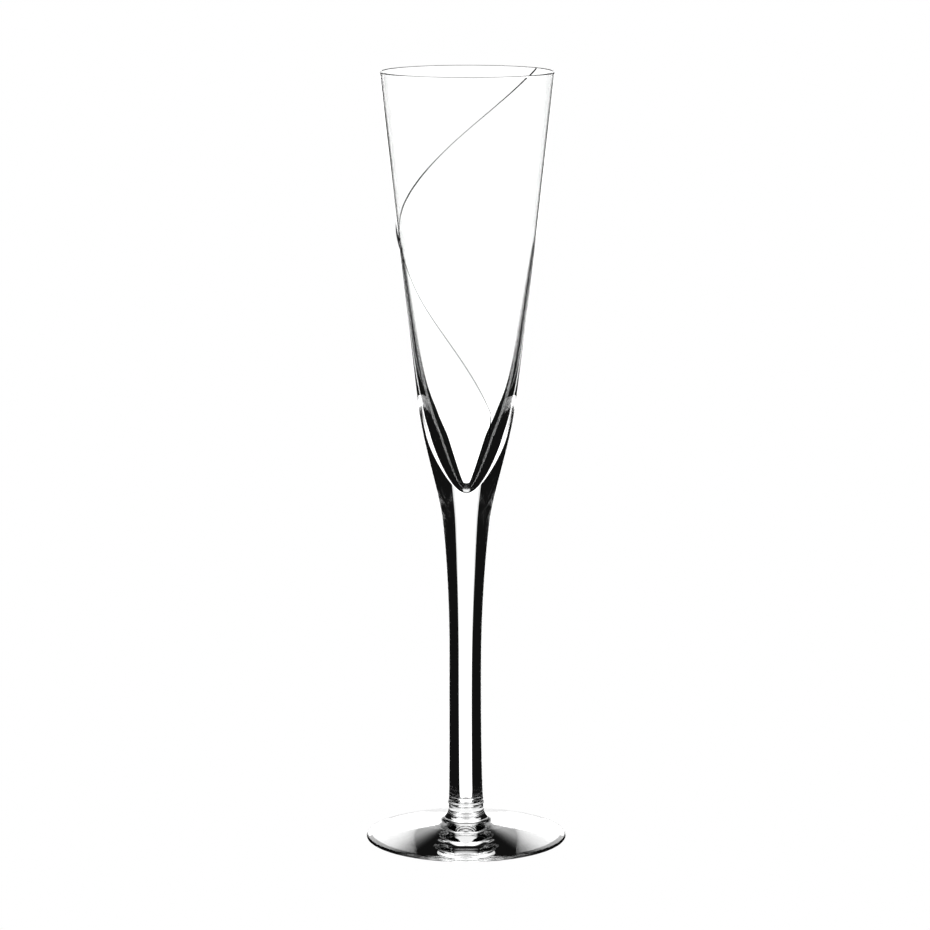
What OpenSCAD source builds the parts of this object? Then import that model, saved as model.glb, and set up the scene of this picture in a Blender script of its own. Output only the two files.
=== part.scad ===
// Champagne flute in clear blown glass, with a thin thread of black glass wound round the bowl.
// Four gathers of glass: a blown bowl, a drawn stem that cups it, a pressed foot and the thread.
// Origin: centre of the base, on the table. +Z is up, +X is to the right, and the front faces -Y.

/* [Overall] */
// Height from the table to the rim
total_h = 250; // [240:1:260]

/* [Bowl] */
// Outer diameter at the rim
rim_d = 56; // [53:0.1:58]
// Wall thickness just below the rim
rim_wall = 0.65; // [0.5:0.05:0.8]
// Height where the straight cone ends and the side curves in
shoulder_h = 144.5; // [143:0.5:147]
// Outer diameter at the shoulder
shoulder_d = 31.9; // [31:0.1:32.4]
// How far the side bulges out from a straight cone
side_bulge = 0.25; // [0:0.05:0.5]
// Height of the pointed bottom of the hollow
hollow_h = 115.5; // [115:0.1:116.5]

/* [Stem] */
// Height where the bowl's curve runs out into the stem
stem_top_h = 105.3; // [103:0.5:107]
// Diameter there
stem_top_d = 15.3; // [15:0.1:16]
// Diameter of the slim lower stem
stem_d = 10.4; // [9.8:0.1:11]
// Diameter of the lip at the stem's lower end
stem_lip_d = 11.7; // [11.5:0.1:12]

/* [Foot] */
// Outer diameter
foot_d = 65.2; // [62:0.2:70]
// Height of the neck that carries the stem
neck_h = 11.2; // [10.8:0.1:12]
// Thickness of the rounded edge
edge_h = 1.1; // [1:0.1:1.6]
// Width of the flat ring that the glass stands on
ring_w = 1.5; // [1:0.1:2.5]
// How steeply the hollow underside rises inwards from the ring, in mm per mm
base_slope = 0.1075; // [0.0975:0.0025:0.1125]

/* [Line thread] */
// Diameter of the thread
thread_d = 0.4; // [0.35:0.05:0.5]
// How far the thread runs down from the rim
thread_drop = 116; // [110:1:118]
// How far it winds round the bowl, in degrees
thread_turn = 262.5; // [240:0.5:280]
// Direction of its start at the rim, in degrees from +X
thread_start = 37; // [0:0.5:60]

/* [Hidden] */

// Facets of a full turn, and steps along each curve of an outline
$fn = 96;
curve_steps = 12;

clear_glass = [0.86, 0.93, 0.94, 0.45];
black_glass = [0.06, 0.06, 0.07];

// Radii of the stated diameters
rim_r = rim_d / 2;
shoulder_r = shoulder_d / 2;
stem_top_r = stem_top_d / 2;
stem_r = stem_d / 2;
lip_r = stem_lip_d / 2;
foot_r = foot_d / 2;
thread_r = thread_d / 2;

// The foot's neck is a little slimmer than the stem's lip that sits on it
neck_r = lip_r - 0.25;

// The fire-polished rim: a small round on the inside, and the rest of the wall rounded off outwards
rim_edge_r = 0.2;
rim_round_r = rim_wall - rim_edge_r;

// The stem's lip: its height, and the small gap over which it swells from the shaft
lip_h = 1.3;
lip_flare_h = 1.8;
// Height of the stem's waist, its slimmest place
waist_h = 62;

// Points along a cubic Bezier curve with ends a, d and handles b, c. The first point is left out,
// so that curves and corners join end to end without doubled points.
function bezier(a, b, c, d, steps = curve_steps) = [
    for (i = [1 : steps])
        let (t = i / steps, s = 1 - t)
            s * s * s * a + 3 * s * s * t * b + 3 * s * t * t * c + t * t * t * d
];

// The outer side of bowl and stem, [radius, height], from the rim down to the stem's lip
rim_corner = [rim_r, total_h];
shoulder = [shoulder_r, shoulder_h];
stem_top = [stem_top_r, stem_top_h];
waist = [stem_r, waist_h];
lip_top = [stem_r + 0.35, neck_h + lip_h + lip_flare_h];
cone_step = (rim_corner - shoulder) / 3;
cone_side = bezier(rim_corner, rim_corner - cone_step + [side_bulge, 0],
                   shoulder + cone_step + [side_bulge, 0], shoulder);
bowl_curve = bezier(shoulder, shoulder + [-1.55, -13.9], stem_top + [1.45, 10.7], stem_top);
upper_stem = bezier(stem_top, stem_top + [-1.3, -11.3], waist + [0.1, 16], waist);
lower_stem = bezier(waist, waist + [-0.05, -17], lip_top + [-0.35, 11], lip_top);
outer_side = concat([rim_corner], cone_side, bowl_curve, upper_stem, lower_stem);

// Outer radius at any height between the rim and the lip
side_lookup = [for (i = [len(outer_side) - 1 : -1 : 0]) [outer_side[i][1], outer_side[i][0]]];
function side_r(h) = lookup(h, side_lookup);

// The hollow inside the bowl, from just below the rim down to its rounded point
hollow_knee = [21.4, 196];
hollow_waist = [10.2, 135.3];
hollow_mouth = [rim_r - rim_wall, total_h - rim_edge_r];
hollow_curve = bezier(hollow_knee, hollow_knee + [-4.9, -30], hollow_waist + [5.4, 13.9], hollow_waist);
hollow_point = bezier(hollow_waist, hollow_waist + [-5.8, -14.9], [2.4, hollow_h], [0, hollow_h]);
hollow_side = concat([hollow_mouth, hollow_knee], hollow_curve, hollow_point);

// The fused face between bowl and stem: the bowl's rounded bottom, from its outer edge to the axis
cup_h = 137;
cup_floor_h = hollow_h - 4.5;
cup_edge = [side_r(cup_h), cup_h];
cup_face = bezier(cup_edge, cup_edge + [-3.2, -9], [9, cup_floor_h], [0, cup_floor_h]);

function reversed(points) = [for (i = [len(points) - 1 : -1 : 0]) points[i]];
function above(points, h) = [for (p = points) if (p[1] > h) p];
function below(points, h) = [for (p = points) if (p[1] < h) p];

// Turns a closed outline of [radius, height] points about the Z axis
module revolve(outline) {
    rotate_extrude() polygon(outline);
}

// Blown bowl, from the rounded rim down to the face that it shares with the stem
module bowl() {
    rim_r_inside = rim_r - rim_round_r;
    rim_round = concat(
        [for (angle = [150 : -30 : 90]) [rim_r_inside, total_h] + rim_edge_r * [cos(angle), sin(angle) - 1]],
        [for (angle = [75 : -15 : 15]) [rim_r_inside, total_h] + rim_round_r * [cos(angle), sin(angle) - 1]]
    );
    side = concat([[rim_r, total_h - rim_round_r]], above(cone_side, cup_h), above(bowl_curve, cup_h));
    color(clear_glass)
        revolve(concat(reversed(hollow_side), rim_round, side, [cup_edge], cup_face));
}

// Drawn stem: a cup under the bowl, a long taper, and a small rounded lip on the foot's neck
module stem() {
    lip_round = [
        [lip_r - 0.2, neck_h + lip_h],
        [lip_r, neck_h + lip_h * 0.6],
        [lip_r, neck_h + 0.25],
        [neck_r, neck_h]
    ];
    side = concat(below(bowl_curve, cup_h), upper_stem, lower_stem);
    color(clear_glass)
        revolve(concat([[0, neck_h]], reversed(concat(side, lip_round)), [cup_edge], cup_face));
}

// A curve inwards from start to radius end_r, rising at three slopes in turn
function sloped(start, end_r, slopes) =
    let (
        run = (start[0] - end_r) / 3,
        second = start + [-run, run * slopes[0]],
        third = second + [-run, run * slopes[1]]
    )
        bezier(start, second, third, third + [-run, run * slopes[2]]);

// Foot: short neck, shallow cone, rounded edge, standing ring and hollow underside with a rounded crown
module foot() {
    neck_top = [neck_r, neck_h];
    // Where the neck's fillet runs out into the straight cone
    cone_start = [8.6, 5.88];
    // The edge is a flat oval: half its height, and its width
    edge_r = edge_h / 2;
    edge_w = 0.8;
    ring_inner = [foot_r - edge_w - ring_w, 0];
    fillet = bezier(neck_top, neck_top + [0.1, -2.2], cone_start + [-2.6, 0.8], cone_start);
    edge = [
        for (angle = [75 : -15 : -90])
            [foot_r - edge_w + edge_w * cos(angle), edge_r + edge_r * sin(angle)]
    ];
    // The underside steepens a little up to the crown, which peaks in slope and then levels out
    crown_r = 15;
    crown_slope = base_slope + 0.003;
    peak_slope = crown_slope + 0.0045;
    underside = sloped(ring_inner, crown_r, [base_slope, base_slope + 0.001, crown_slope]);
    crown_edge = underside[len(underside) - 1];
    crown = sloped(crown_edge, 0, [crown_slope, peak_slope, 0]);
    color(clear_glass)
        revolve(concat([[0, neck_h], neck_top], fillet, edge, [ring_inner], underside, crown));
}

// Line thread: a round trail that lies against the bowl's outer wall and thins out at its lower end
module line_thread() {
    sides = 8;
    rings = 120;
    // The winding is done at this share of the drop; the rest of the trail hangs straight down
    winding_share = 0.93;
    // The trail winds faster at first, by this many degrees, and swings on a little round the left side
    lead = 11.5;
    swing = 11;
    // The trail starts this far below the rim, and lies this far off the wall, so that it doesn't cut in
    start_drop = 0.3;
    clearance = 0.03;
    function drop(u) = start_drop + u * (thread_drop - start_drop);
    function turn(u) =
        let (t = min(1, u / winding_share), side_swing = swing * exp(-pow((u - 0.47) / 0.1, 2)))
            thread_start + thread_turn * t + lead * sin(180 * pow(t, 1.6)) + side_swing;
    // Radius of the trail: full for most of its length, then tapering to a fine tip
    function trail_r(u) = thread_r * (1 - 0.75 * pow(max(0, (u - 0.8) / 0.2), 2));
    function centre(u) =
        let (h = total_h - drop(u), r = side_r(h) + trail_r(u) + clearance)
            [r * cos(turn(u)), r * sin(turn(u)), h];
    function along(u) =
        let (d = centre(min(1, u + 0.004)) - centre(max(0, u - 0.004)))
            d / norm(d);
    function ring(u) =
        let (
            out = [cos(turn(u)), sin(turn(u)), 0],
            side = cross(along(u), out) / norm(cross(along(u), out)),
            up = cross(side, along(u))
        )
            [
                for (k = [0 : sides - 1])
                    let (angle = 360 * k / sides)
                        centre(u) + trail_r(u) * (cos(angle) * up + sin(angle) * side)
            ];
    points = [for (i = [0 : rings]) each ring(i / rings)];
    walls = [
        for (i = [0 : rings - 1])
            for (k = [0 : sides - 1])
                let (a = i * sides + k, b = i * sides + (k + 1) % sides)
                    [a, b, b + sides, a + sides]
    ];
    start_cap = [for (k = [sides - 1 : -1 : 0]) k];
    end_cap = [for (k = [0 : sides - 1]) rings * sides + k];
    color(black_glass)
        polyhedron(points = points, faces = concat([start_cap], walls, [end_cap]), convexity = 10);
}

bowl();
stem();
foot();
line_thread();
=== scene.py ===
"""Champagne flute in clear blown glass with a black glass thread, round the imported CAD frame."""

import math

import bmesh
import bpy
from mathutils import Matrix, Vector


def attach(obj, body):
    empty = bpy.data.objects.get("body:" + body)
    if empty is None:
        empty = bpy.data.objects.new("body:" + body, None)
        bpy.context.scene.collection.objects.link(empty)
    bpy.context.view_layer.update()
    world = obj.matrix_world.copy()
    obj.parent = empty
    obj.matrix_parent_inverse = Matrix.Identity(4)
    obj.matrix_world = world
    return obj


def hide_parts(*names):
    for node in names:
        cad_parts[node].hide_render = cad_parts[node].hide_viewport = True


MM = 0.001

# Sizes of the glass in millimetres, as the CAD has them. A pair is a radius and a height.
TOTAL_H = 250.0

# Bowl: the fire-polished rim, the side, and the hollow that narrows to a point
RIM_R = 28.0
RIM_WALL = 0.65
RIM_EDGE = 0.2
SHOULDER = (15.95, 144.5)
SIDE_BULGE = 0.25
HOLLOW_KNEE = (21.4, 196.0)
HOLLOW_WAIST = (10.2, 135.3)
HOLLOW_H = 115.5
HOLLOW_TIP_R = 2.4

# Stem: the cup round the bowl's bottom, the stem's top and waist, and the flare over the lip
CUP_H = 137.0
CUP_FLOOR_H = HOLLOW_H - 4.5
CUP_FLOOR_R = 9.0
STEM_TOP = (7.65, 105.3)
WAIST = (5.2, 62.0)
FLARE_W = 0.35
FLARE_H = 1.8

# The lip at the stem's lower end: its size, the outer corner of its top, and its rounded edge, whose
# centre stands a little over the foot's neck
LIP_R = 5.85
LIP_H = 1.3
LIP_CORNER_R = LIP_R - 0.18
LIP_ROUND = (0.2, 0.35)
LIP_ROUND_H = 0.4

# Foot: the neck, the cone, the rounded edge and the standing ring
NECK_R = LIP_R - 0.25
NECK_H = 11.2
CONE_START = (8.6, 5.88)
FOOT_R = 32.6
EDGE_H = 1.1
EDGE_W = 0.8
RING_W = 1.5

# The foot's hollow underside from the ring inwards: where each span ends, and its slopes on the way
BASE_SPANS = ((15.0, (0.1075, 0.1085, 0.1105)), (0.0, (0.1105, 0.115, 0.0)))

# Handles of the curves, as steps in radius and height from the point that each belongs to
SHOULDER_DOWN = (-1.55, -13.9)
STEM_TOP_UP = (1.45, 10.7)
STEM_TOP_DOWN = (-1.3, -11.3)
WAIST_UP = (0.1, 16.0)
WAIST_DOWN = (-0.05, -17.0)
LIP_TOP_UP = (-0.35, 11.0)
CUP_EDGE_DOWN = (-3.2, -9.0)
HOLLOW_WAIST_DOWN = (-5.8, -14.9)
HOLLOW_WAIST_UP = (5.4, 13.9)
HOLLOW_KNEE_DOWN = (-4.9, -30.0)
NECK_DOWN = (0.1, -2.2)
CONE_UP = (-2.6, 0.8)

# How the hand-made glass strays sideways: the bowl sits a little over, and the stem bows a little
BOWL_LEAN = 0.3
LEAN_H = 135.0
LEAN_SPAN = 14.0
STEM_BOW = 0.32
BOW_H = 50.0
BOW_SPAN = 38.0
BOW_START_H = 2.0
BOW_RISE = 18.0

# Fineness of the turned bodies, and the angle between faces that counts as a crease
TURN_STEPS = 192
CURVE_STEPS = 40
FILLET_STEPS = 32
SHORT_STEPS = 24
EDGE_STEPS = 20
RIM_STEPS = 12
CREASE_ANGLE = math.radians(40)

# A point nearer to the axis than this is on it, and a ring keeps this far from the cup's edge
ON_AXIS = 1e-6
CUP_GAP = 0.05

# Rings of the straight walls, crowded towards their ends so that smooth shading ends with them: shares
# of the hollow's wall and of the cone, distances under the rim, and shares of the standing ring
HOLLOW_SHARES = (*(i / 20 for i in range(1, 20)), 0.975, 0.99, 0.996, 0.9985)
CONE_SHARES = (0.02, 0.1, 0.25, 0.5, 0.75, 0.9, 0.96, 0.985, 0.995)
UNDER_RIM = (0.08, 0.25, 0.6, 1.3)
UNDER_RIM_END = 1.6
RING_SHARES = (0.97, 0.9, 0.5, 0.1, 0.0)


# ---------------------------------------------------------------- outlines

def clamped(value):
    return max(0.0, min(1.0, value))


def shifted(point, step):
    return (point[0] + step[0], point[1] + step[1])


def between(a, b, share):
    return (a[0] + (b[0] - a[0]) * share, a[1] + (b[1] - a[1]) * share)


def bezier(a, b, c, d, steps=CURVE_STEPS):
    """Points along a cubic Bezier curve, without its first one, so that curves join end to end."""
    points = []
    for i in range(1, steps + 1):
        t = i / steps
        s = 1 - t
        points.append(tuple(
            s ** 3 * a[k] + 3 * s * s * t * b[k] + 3 * s * t * t * c[k] + t ** 3 * d[k] for k in (0, 1)
        ))
    return points


def arc(centre, radii, first, last, steps):
    """Points along an elliptical arc, angles in degrees."""
    angles = [math.radians(first + (last - first) * i / steps) for i in range(steps + 1)]
    return [(centre[0] + radii[0] * math.cos(a), centre[1] + radii[1] * math.sin(a)) for a in angles]


def sloped(start, end_r, slopes):
    """A curve inwards from start to radius end_r, rising at the given slopes."""
    run = (start[0] - end_r) / 3
    points = [start]
    for slope in slopes:
        points.append(shifted(points[-1], (-run, run * slope)))
    return bezier(*points, SHORT_STEPS)


def lean(h):
    """How far the glass strays sideways at height h."""
    bow = math.exp(-((h - BOW_H) / BOW_SPAN) ** 2) * clamped((h - BOW_START_H) / BOW_RISE)
    return BOWL_LEAN / (1 + math.exp((LEAN_H - h) / LEAN_SPAN)) - STEM_BOW * bow


def outer_side():
    """Outer side of bowl and stem, from the rim's outer corner down to the top of the stem's lip."""
    rim = (RIM_R, TOTAL_H)
    third = ((rim[0] - SHOULDER[0]) / 3, (rim[1] - SHOULDER[1]) / 3)
    below_rim = (rim[0] - third[0] + SIDE_BULGE, rim[1] - third[1])
    over_shoulder = (SHOULDER[0] + third[0] + SIDE_BULGE, SHOULDER[1] + third[1])
    lip_top = (WAIST[0] + FLARE_W, NECK_H + LIP_H + FLARE_H)
    cone = bezier(rim, below_rim, over_shoulder, SHOULDER)
    base = bezier(SHOULDER, shifted(SHOULDER, SHOULDER_DOWN), shifted(STEM_TOP, STEM_TOP_UP), STEM_TOP)
    upper = bezier(STEM_TOP, shifted(STEM_TOP, STEM_TOP_DOWN), shifted(WAIST, WAIST_UP), WAIST)
    lower = bezier(WAIST, shifted(WAIST, WAIST_DOWN), shifted(lip_top, LIP_TOP_UP), lip_top)
    return [rim] + cone + base + upper + lower


def side_radius(side, h):
    """Radius of the outer side at height h."""
    for (r1, h1), (r2, h2) in zip(side, side[1:]):
        if h2 <= h <= h1:
            return r2 + (r1 - r2) * (h - h2) / (h1 - h2)
    return side[0][0]


def cup_face(side):
    """The fused face between bowl and stem, from its outer edge to the axis."""
    edge = (side_radius(side, CUP_H), CUP_H)
    floor_edge = (CUP_FLOOR_R, CUP_FLOOR_H)
    return [edge] + bezier(edge, shifted(edge, CUP_EDGE_DOWN), floor_edge, (0.0, CUP_FLOOR_H), SHORT_STEPS)


# ---------------------------------------------------------------- glass bodies

def add_object(name, bm):
    """Puts a finished BMesh into the scene as an object."""
    mesh = bpy.data.meshes.new(name)
    bm.to_mesh(mesh)
    bm.free()
    made = bpy.data.objects.new(name, mesh)
    bpy.context.scene.collection.objects.link(made)
    return made


def revolve(name, outline, joint_spans):
    """A closed glass body turned from an outline of (radius, height) points, from axis to axis.
    Faces between the point pairs that joint_spans names are fused faces, with the second material."""
    bm = bmesh.new()
    turns = [math.tau * k / TURN_STEPS for k in range(TURN_STEPS)]
    rings = []
    for r, h in outline:
        if r < ON_AXIS:
            rings.append([bm.verts.new((lean(h) * MM, 0, h * MM))])
        else:
            rings.append([
                bm.verts.new(((lean(h) + r * math.cos(a)) * MM, r * MM * math.sin(a), h * MM))
                for a in turns
            ])
    for i, (low, high) in enumerate(zip(rings, rings[1:])):
        fused = any(first <= i < last for first, last in joint_spans)
        for k in range(TURN_STEPS):
            n = (k + 1) % TURN_STEPS
            if len(low) == 1:
                corners = (low[0], high[n], high[k])
            elif len(high) == 1:
                corners = (low[k], low[n], high[0])
            else:
                corners = (low[k], low[n], high[n], high[k])
            face = bm.faces.new(corners)
            face.material_index = 1 if fused else 0
            face.smooth = True
    bmesh.ops.recalc_face_normals(bm, faces=bm.faces)
    return add_object(name, bm)


def make_bowl(side):
    """The bowl, from the tip of its hollow up the inside, over the rim and down to the fused face."""
    rim_round = RIM_WALL - RIM_EDGE
    rim = arc((RIM_R - rim_round, TOTAL_H - RIM_EDGE), (RIM_EDGE, RIM_EDGE), 180, 90, RIM_STEPS // 2)
    rim += arc((RIM_R - rim_round, TOTAL_H - rim_round), (rim_round, rim_round), 90, 0, RIM_STEPS)[1:]
    tip = (0.0, HOLLOW_H)
    hollow = bezier(tip, (HOLLOW_TIP_R, HOLLOW_H), shifted(HOLLOW_WAIST, HOLLOW_WAIST_DOWN), HOLLOW_WAIST)
    hollow += bezier(HOLLOW_WAIST, shifted(HOLLOW_WAIST, HOLLOW_WAIST_UP),
                     shifted(HOLLOW_KNEE, HOLLOW_KNEE_DOWN), HOLLOW_KNEE)
    hollow += [between(HOLLOW_KNEE, rim[0], share) for share in HOLLOW_SHARES]
    rim_end_h = TOTAL_H - rim_round
    wall = [(side_radius(side, rim_end_h - drop), rim_end_h - drop) for drop in UNDER_RIM]
    wall += [p for p in side if CUP_H + CUP_GAP < p[1] < rim_end_h - UNDER_RIM_END]
    outline = [tip] + hollow + rim + wall
    first = len(outline)
    outline += cup_face(side)
    return revolve("glass_bowl", outline, [(first, len(outline))])


def make_stem(side):
    """The stem, from the middle of its cup over the edge and down to the face on the foot's neck."""
    cup = cup_face(side)
    wall = [p for p in side if p[1] < CUP_H - CUP_GAP]
    lip = [(LIP_CORNER_R, NECK_H + LIP_H)]
    lip += arc((LIP_R - LIP_ROUND[0], NECK_H + LIP_ROUND_H), LIP_ROUND, 60, -60, 8)
    lip.append((NECK_R, NECK_H))
    outline = cup[::-1] + wall + lip + [(0.0, NECK_H)]
    end = len(outline) - 2
    return revolve("glass_stem", outline, [(0, len(cup) - 1), (end, end + 1)])


def make_foot():
    """The foot, from the face under the stem over the cone and the edge to the hollow underside."""
    neck_top = (NECK_R, NECK_H)
    ring_inner = (FOOT_R - EDGE_W - RING_W, 0.0)
    fillet = bezier(neck_top, shifted(neck_top, NECK_DOWN), shifted(CONE_START, CONE_UP), CONE_START,
                    FILLET_STEPS)
    edge = arc((FOOT_R - EDGE_W, EDGE_H / 2), (EDGE_W, EDGE_H / 2), 75, -90, EDGE_STEPS)
    cone = [between(CONE_START, edge[0], share) for share in CONE_SHARES]
    ring = [(ring_inner[0] + RING_W * share, 0.0) for share in RING_SHARES]
    underside = [ring_inner]
    for end_r, slopes in BASE_SPANS:
        underside += sloped(underside[-1], end_r, slopes)
    outline = [(0.0, NECK_H), neck_top] + fillet + cone + edge + ring + underside[1:]
    return revolve("glass_foot", outline, [(0, 1)])


def sharpen(piece):
    """Marks the creases of a smooth body: where the fused face starts, and where faces meet at a corner."""
    bm = bmesh.new()
    bm.from_mesh(piece.data)
    for edge in bm.edges:
        a, b = edge.link_faces
        edge.smooth = a.material_index == b.material_index and edge.calc_face_angle(0.0) < CREASE_ANGLE
    bm.to_mesh(piece.data)
    bm.free()


# ---------------------------------------------------------------- thread

# The thread's path: millimetres under the rim where it starts and ends, then degrees round the bowl.
# It leads the even winding by up to THREAD_LEAD, swings ahead once at SWING_AT, and hangs straight down
# after WINDING_SHARE of its drop.
START_DROP = 0.3
THREAD_DROP = 116.0
THREAD_START = 36.8
THREAD_TURN = 262.5
THREAD_LEAD = 11.5
LEAD_POWER = 1.6
THREAD_SWING = 11.0
SWING_AT = 0.47
SWING_SPAN = 0.1
WINDING_SHARE = 0.93

# The thread's radius in millimetres, and what its start, its knuckle and its end add to it
THREAD_R = 0.1
START_SWELL = 0.16
START_SPAN = 0.16
START_POWER = 1.2
KNUCKLE_SWELL = 0.14
KNUCKLE_AT = 0.39
KNUCKLE_SPAN = 0.125
END_SWELL = 0.06
END_AT = 0.9
END_SPAN = 0.06

# How deep the thread is melted into the wall, and the largest share of its radius that this may be
SINK = 0.06
SINK_SHARE = 0.8

# Fineness of the thread's mesh, and the share of its drop over which its direction is taken. Each end is
# rounded over a few rings, of which the last has this share of the radius.
THREAD_RINGS = 420
THREAD_SIDES = 14
DIRECTION_STEP = 0.002
END_RINGS = 2
END_SHARE = 0.35


def thread_radius(u):
    """Radius of the thread at share u of its drop."""
    start = max(0.0, 1 - u / START_SPAN)
    knuckle = math.exp(-((u - KNUCKLE_AT) / KNUCKLE_SPAN) ** 4)
    end = clamped((u - END_AT) / END_SPAN)
    return THREAD_R + START_SWELL * start ** START_POWER + KNUCKLE_SWELL * knuckle + END_SWELL * end


def thread_point(side, u):
    """Centre of the thread at share u of its drop, and its angle round the bowl."""
    h = TOTAL_H - START_DROP - u * (THREAD_DROP - START_DROP)
    t = min(1.0, u / WINDING_SHARE)
    lead = THREAD_LEAD * math.sin(math.pi * t ** LEAD_POWER)
    swing = THREAD_SWING * math.exp(-((u - SWING_AT) / SWING_SPAN) ** 2)
    angle = math.radians(THREAD_START + THREAD_TURN * t + lead + swing)
    r = side_radius(side, h) + thread_radius(u) - min(SINK, thread_radius(u) * SINK_SHARE)
    return Vector((lean(h) + r * math.cos(angle), r * math.sin(angle), h)), angle


def make_thread(side):
    """The black trail: a round tube whose thickness varies, sunk a little into the bowl's outer wall."""
    bm = bmesh.new()
    turns = [math.tau * k / THREAD_SIDES for k in range(THREAD_SIDES)]
    loops = []
    for i in range(THREAD_RINGS + 1):
        u = i / THREAD_RINGS
        point, angle = thread_point(side, u)
        before = thread_point(side, max(0.0, u - DIRECTION_STEP))[0]
        after = thread_point(side, min(1.0, u + DIRECTION_STEP))[0]
        out = Vector((math.cos(angle), math.sin(angle), 0))
        along = (after - before).normalized()
        across = along.cross(out).normalized()
        up = across.cross(along)
        radius = thread_radius(u) * min(1.0, min(i, THREAD_RINGS - i) / END_RINGS + END_SHARE)
        loops.append([
            bm.verts.new((point + radius * (math.cos(a) * up + math.sin(a) * across)) * MM) for a in turns
        ])
    for low, high in zip(loops, loops[1:]):
        for k in range(THREAD_SIDES):
            n = (k + 1) % THREAD_SIDES
            bm.faces.new((low[k], low[n], high[n], high[k])).smooth = True
    bm.faces.new(loops[0][::-1])
    bm.faces.new(loops[-1])
    bmesh.ops.recalc_face_normals(bm, faces=bm.faces)
    return add_object("glass_thread", bm)


# ---------------------------------------------------------------- materials

GLASS_IOR = 1.5
WHITE = (1, 1, 1, 1)

# Depth of the surface waves in clear and in black glass, in metres, and the heights between which those
# of the clear glass set in: the pressed foot has none
STRIAE_DEPTH = 0.00004
RIPPLE_DEPTH = 0.00003
STRIAE_START_Z = 0.02
STRIAE_FULL_Z = 0.05


def new_material(name):
    """An empty node material, with its nodes, its links and its output."""
    material = bpy.data.materials.new(name)
    material.use_nodes = True
    nodes = material.node_tree.nodes
    nodes.clear()
    out = nodes.new("ShaderNodeOutputMaterial")
    return material, nodes, material.node_tree.links, out


def place(nodes, links):
    """X, Y and Z of the point on the object itself."""
    coords = nodes.new("ShaderNodeTexCoord")
    split = nodes.new("ShaderNodeSeparateXYZ")
    links.new(coords.outputs["Object"], split.inputs[0])
    return split.outputs


def noise(nodes, links, scale, detail, stretch=(1, 1, 1)):
    """Noise that sits still on the glass: features of about 1 / scale metres, stretched by factors."""
    coords = nodes.new("ShaderNodeTexCoord")
    mapping = nodes.new("ShaderNodeMapping")
    mapping.inputs["Scale"].default_value = [1 / s for s in stretch]
    texture = nodes.new("ShaderNodeTexNoise")
    texture.inputs["Scale"].default_value = scale
    texture.inputs["Detail"].default_value = detail
    links.new(coords.outputs["Object"], mapping.inputs["Vector"])
    links.new(mapping.outputs["Vector"], texture.inputs["Vector"])
    return texture.outputs["Fac"]


def spread(nodes, links, value, low, high, start=0.3, end=0.7, smooth=False):
    """Maps a value from start..end onto low..high."""
    span = nodes.new("ShaderNodeMapRange")
    if smooth:
        span.interpolation_type = "SMOOTHSTEP"
    for socket, number in (("From Min", start), ("From Max", end), ("To Min", low), ("To Max", high)):
        span.inputs[socket].default_value = number
    links.new(value, span.inputs["Value"])
    return span.outputs["Result"]


def product(nodes, links, first, second):
    """One value times another."""
    times = nodes.new("ShaderNodeMath")
    times.operation = "MULTIPLY"
    links.new(first, times.inputs[0])
    links.new(second, times.inputs[1])
    return times.outputs[0]


def blend(nodes, links, value, low, high):
    """A colour between low and high."""
    ramp = nodes.new("ShaderNodeValToRGB")
    for element, position, colour in zip(ramp.color_ramp.elements, (0.35, 0.65), (low, high)):
        element.position = position
        element.color = (*colour, 1)
    links.new(value, ramp.inputs["Fac"])
    return ramp.outputs["Color"]


def curve(nodes, links, value, points):
    """A value read off straight lines between points of (value, result)."""
    low, high = points[0][0], points[-1][0]
    top = max(result for _, result in points)
    ramp = nodes.new("ShaderNodeValToRGB")
    elements = ramp.color_ramp.elements
    while len(elements) < len(points):
        elements.new(0.5)
    for element, (at, _) in zip(elements, points):
        element.position = (at - low) / (high - low)
    for element, (_, result) in zip(elements, points):
        element.color = (result / top, result / top, result / top, 1)
    scale = nodes.new("ShaderNodeMath")
    scale.operation = "MULTIPLY"
    scale.inputs[1].default_value = top
    links.new(spread(nodes, links, value, 0.0, 1.0, low, high), ramp.inputs["Fac"])
    links.new(ramp.outputs["Color"], scale.inputs[0])
    return scale.outputs[0]


def bump(nodes, links, shader, height, strength, depth):
    """Waves in the surface, from a height between 0 and 1 and a depth in metres."""
    waves = nodes.new("ShaderNodeBump")
    waves.inputs["Strength"].default_value = strength
    waves.inputs["Distance"].default_value = depth
    links.new(height, waves.inputs["Height"])
    links.new(waves.outputs["Normal"], shader.inputs["Normal"])


def clear_glass():
    """Hand-drawn crystal: almost colourless, with faint drawn-out striae in bowl and stem that bend
    the view."""
    material, nodes, links, out = new_material("clear_glass")
    shader = nodes.new("ShaderNodeBsdfPrincipled")
    shader.inputs["Roughness"].default_value = 0.0
    shader.inputs["IOR"].default_value = GLASS_IOR
    shader.inputs["Transmission Weight"].default_value = 1.0
    clouds = noise(nodes, links, scale=40.0, detail=2.0, stretch=(1, 1, 3))
    tint = blend(nodes, links, clouds, low=(0.985, 0.99, 0.988), high=(1.0, 1.0, 1.0))
    links.new(tint, shader.inputs["Base Color"])
    striae = noise(nodes, links, scale=90.0, detail=1.0, stretch=(1, 1, 5))
    above_foot = spread(nodes, links, place(nodes, links)["Z"], 0.0, 1.0, STRIAE_START_Z, STRIAE_FULL_Z)
    bump(nodes, links, shader, product(nodes, links, striae, above_foot), strength=1.0, depth=STRIAE_DEPTH)
    links.new(shader.outputs["BSDF"], out.inputs["Surface"])
    return material


def fused_joint():
    """Two gathers of one glass melted together: light crosses the face between them unbent."""
    material, nodes, links, out = new_material("fused_joint")
    shader = nodes.new("ShaderNodeBsdfTransparent")
    links.new(shader.outputs["BSDF"], out.inputs["Surface"])
    return material


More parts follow.
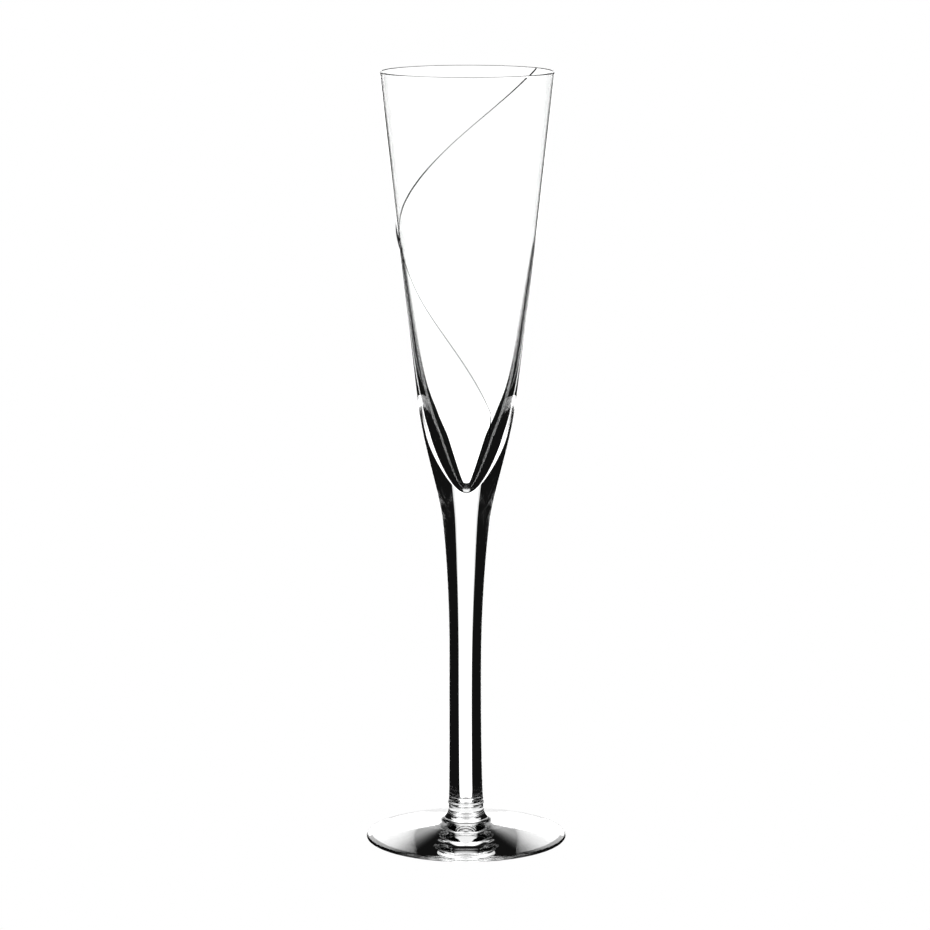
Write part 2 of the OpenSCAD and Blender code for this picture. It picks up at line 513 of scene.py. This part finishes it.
def black_glass():
    """Opaque black glass, melted on: glossy, with soft ripples and duller patches."""
    material, nodes, links, out = new_material("black_glass")
    shader = nodes.new("ShaderNodeBsdfPrincipled")
    shader.inputs["IOR"].default_value = GLASS_IOR
    patches = noise(nodes, links, scale=400.0, detail=3.0)
    shade = blend(nodes, links, patches, low=(0.006, 0.006, 0.007), high=(0.02, 0.02, 0.022))
    links.new(shade, shader.inputs["Base Color"])
    links.new(spread(nodes, links, patches, low=0.05, high=0.16), shader.inputs["Roughness"])
    ripples = noise(nodes, links, scale=900.0, detail=2.0)
    bump(nodes, links, shader, ripples, strength=0.6, depth=RIPPLE_DEPTH)
    links.new(shader.outputs["BSDF"], out.inputs["Surface"])
    return material


# ---------------------------------------------------------------- studio

# Camera: metres from the glass's axis, above the floor and aside, then its downward pitch and its lens
CAMERA_DISTANCE = 1.2554
CAMERA_HEIGHT = 0.3389
CAMERA_SIDE = -0.0004
CAMERA_PITCH = math.radians(9.745)
CAMERA_LENS = 152.97
CAMERA_SENSOR = 36.0
CAMERA_NEAR = 0.05
CAMERA_FAR = 60.0

# Floor: half its size, and how far the floor and the spot of light lie under the glass, in metres
FLOOR_HALF = 20
FLOOR_Z = -0.0002
PLATE_Z = -0.0001

# Spot of light on the table: the radius up to which it is full and its whole radius, in metres
PLATE_FULL = 0.014
PLATE_R = 0.019
PLATE_SIDES = 96

# Light card: metres behind the glass, then angles in degrees as the glass sees them. The card keeps its
# full width down to the taper, and closes in from there to a share of it at the lower edge. It fades
# out between the full angle and the upper edge.
CARD_DISTANCE = 3.0
CARD_HALF_ANGLE = 19.0
CARD_LOW = -32.0
CARD_TAPER = -8.0
CARD_FULL = 25.0
CARD_HIGH = 33.0
CARD_NARROW = 0.45

# The card's brightness, and the factors on it at shares of the way from its middle to its sides
CARD_LEVEL = 1.2
CARD_PROFILE = (
    (0.0, 1.0),
    (0.1, 1.05),
    (0.3, 1.5),
    (0.5, 2.0),
    (0.65, 1.6),
    (0.85, 0.8),
    (1.0, 0.7),
)

# The surroundings: their own faint light, and the elevations between which the light overhead sets in
DARK_LEVEL = 0.006
ROOF_LEVEL = 1.0
ROOF_START = math.radians(46)
ROOF_FULL = math.radians(54)

# How often a ray may be bent and reflected on its way through the glass
GLASS_BOUNCES = 32
GLOSSY_BOUNCES = 16


def make_camera():
    """A long lens a little above the rim, looking slightly down."""
    data = bpy.data.cameras.new("camera")
    data.lens = CAMERA_LENS
    data.sensor_width = CAMERA_SENSOR
    data.clip_start = CAMERA_NEAR
    data.clip_end = CAMERA_FAR
    camera = bpy.data.objects.new("camera", data)
    camera.location = (CAMERA_SIDE, -CAMERA_DISTANCE, CAMERA_HEIGHT)
    camera.rotation_euler = (math.pi / 2 - CAMERA_PITCH, 0, 0)
    bpy.context.scene.collection.objects.link(camera)
    bpy.context.scene.camera = camera
    return camera


def make_panel(name, corners):
    """A single flat face."""
    bm = bmesh.new()
    for corner in corners:
        bm.verts.new(corner)
    bm.faces.new(bm.verts)
    return add_object(name, bm)


def make_floor():
    """The plain white floor. Only the camera sees it."""
    half = FLOOR_HALF
    floor = make_panel("floor", ((-half, -half, 0), (half, -half, 0), (half, half, 0), (-half, half, 0)))
    material, nodes, links, out = new_material("pale_floor")
    shader = nodes.new("ShaderNodeEmission")
    shader.inputs["Color"].default_value = WHITE
    links.new(shader.outputs["Emission"], out.inputs["Surface"])
    floor.data.materials.append(material)
    floor.location.z = FLOOR_Z
    floor.visible_transmission = False
    floor.visible_glossy = False
    floor.visible_diffuse = False


def make_plate():
    """The bright spot of table right under the glass. Only the glass sees it."""
    bm = bmesh.new()
    bmesh.ops.create_circle(bm, cap_ends=True, segments=PLATE_SIDES, radius=PLATE_R)
    plate = add_object("plate", bm)
    material, nodes, links, out = new_material("plate_light")
    coords = nodes.new("ShaderNodeTexCoord")
    radius = nodes.new("ShaderNodeVectorMath")
    radius.operation = "LENGTH"
    links.new(coords.outputs["Object"], radius.inputs[0])
    fade = spread(nodes, links, radius.outputs["Value"], 1.0, DARK_LEVEL, PLATE_FULL, PLATE_R, smooth=True)
    glow = nodes.new("ShaderNodeEmission")
    clear = nodes.new("ShaderNodeBsdfTransparent")
    mix = nodes.new("ShaderNodeMixShader")
    glow.inputs["Color"].default_value = WHITE
    links.new(fade, mix.inputs["Fac"])
    links.new(clear.outputs[0], mix.inputs[1])
    links.new(glow.outputs[0], mix.inputs[2])
    links.new(mix.outputs[0], out.inputs["Surface"])
    plate.data.materials.append(material)
    plate.location.z = PLATE_Z
    plate.visible_camera = False
    plate.visible_diffuse = False


def card_height(elevation):
    """Height on the card, over the camera's axis, of what the glass sees at an elevation in degrees."""
    return CARD_DISTANCE * math.tan(math.radians(elevation) + CAMERA_PITCH)


def make_light_card(camera):
    """The white card behind the glass. It rides on the camera, as it does on a turntable stand where the
    glass turns and the camera and its lights stay put. The camera itself doesn't see it."""
    reach = CARD_DISTANCE + CAMERA_DISTANCE
    half = CARD_DISTANCE * math.tan(math.radians(CARD_HALF_ANGLE))
    narrow = half * CARD_NARROW
    low = card_height(CARD_LOW)
    taper = card_height(CARD_TAPER)
    high = card_height(CARD_HIGH)
    card = make_panel("light_card", (
        (-narrow, low, -reach),
        (narrow, low, -reach),
        (half, taper, -reach),
        (half, high, -reach),
        (-half, high, -reach),
        (-half, taper, -reach),
    ))
    material, nodes, links, out = new_material("card_light")
    shader = nodes.new("ShaderNodeEmission")
    shader.inputs["Color"].default_value = WHITE
    spot = place(nodes, links)
    full = card_height(CARD_FULL)
    fade = spread(nodes, links, spot["Y"], CARD_LEVEL, DARK_LEVEL, full, high, smooth=True)
    aside = nodes.new("ShaderNodeMath")
    aside.operation = "ABSOLUTE"
    links.new(spot["X"], aside.inputs[0])
    points = [(share * half, factor) for share, factor in CARD_PROFILE]
    profile = curve(nodes, links, aside.outputs[0], points)
    links.new(product(nodes, links, fade, profile), shader.inputs["Strength"])
    links.new(shader.outputs["Emission"], out.inputs["Surface"])
    card.data.materials.append(material)
    card.parent = camera
    card.visible_camera = False
    card.visible_diffuse = False


def make_world():
    """Plain white where the camera looks past the glass, and dark surroundings for what the glass sees,
    with a light overhead."""
    world = bpy.data.worlds.new("studio")
    bpy.context.scene.world = world
    world.use_nodes = True
    nodes = world.node_tree.nodes
    links = world.node_tree.links
    nodes.clear()
    coords = nodes.new("ShaderNodeTexCoord")
    split = nodes.new("ShaderNodeSeparateXYZ")
    links.new(coords.outputs["Generated"], split.inputs[0])
    level = spread(nodes, links, split.outputs["Z"], DARK_LEVEL, DARK_LEVEL + ROOF_LEVEL,
                   math.sin(ROOF_START), math.sin(ROOF_FULL), smooth=True)
    dark = nodes.new("ShaderNodeBackground")
    dark.inputs["Color"].default_value = WHITE
    links.new(level, dark.inputs["Strength"])
    white = nodes.new("ShaderNodeBackground")
    white.inputs["Color"].default_value = WHITE
    path = nodes.new("ShaderNodeLightPath")
    mix = nodes.new("ShaderNodeMixShader")
    out = nodes.new("ShaderNodeOutputWorld")
    links.new(path.outputs["Is Camera Ray"], mix.inputs["Fac"])
    links.new(dark.outputs[0], mix.inputs[1])
    links.new(white.outputs[0], mix.inputs[2])
    links.new(mix.outputs[0], out.inputs["Surface"])


def make_studio():
    """Camera, floor and lights, and how far light is followed through the glass."""
    make_light_card(make_camera())
    make_floor()
    make_plate()
    make_world()
    scene = bpy.context.scene
    scene.view_settings.view_transform = "Standard"
    scene.cycles.max_bounces = GLASS_BOUNCES
    scene.cycles.transmission_bounces = GLASS_BOUNCES
    scene.cycles.transparent_max_bounces = GLASS_BOUNCES
    scene.cycles.glossy_bounces = GLOSSY_BOUNCES


# ---------------------------------------------------------------- build

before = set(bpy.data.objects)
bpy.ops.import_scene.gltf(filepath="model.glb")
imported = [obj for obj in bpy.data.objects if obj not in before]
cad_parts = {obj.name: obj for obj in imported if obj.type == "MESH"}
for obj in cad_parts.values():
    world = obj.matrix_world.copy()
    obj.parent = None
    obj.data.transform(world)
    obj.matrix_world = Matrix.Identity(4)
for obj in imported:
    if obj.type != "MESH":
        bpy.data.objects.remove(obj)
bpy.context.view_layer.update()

make_studio()

side = outer_side()
glass = clear_glass()
joint = fused_joint()
pieces = {"bowl": make_bowl(side), "stem": make_stem(side), "foot": make_foot()}
for node, piece in pieces.items():
    piece.data.materials.append(glass)
    piece.data.materials.append(joint)
    sharpen(piece)
    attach(piece, "root")
    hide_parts(node)
thread = make_thread(side)
thread.data.materials.append(black_glass())
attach(thread, "root")
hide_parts("line_thread")
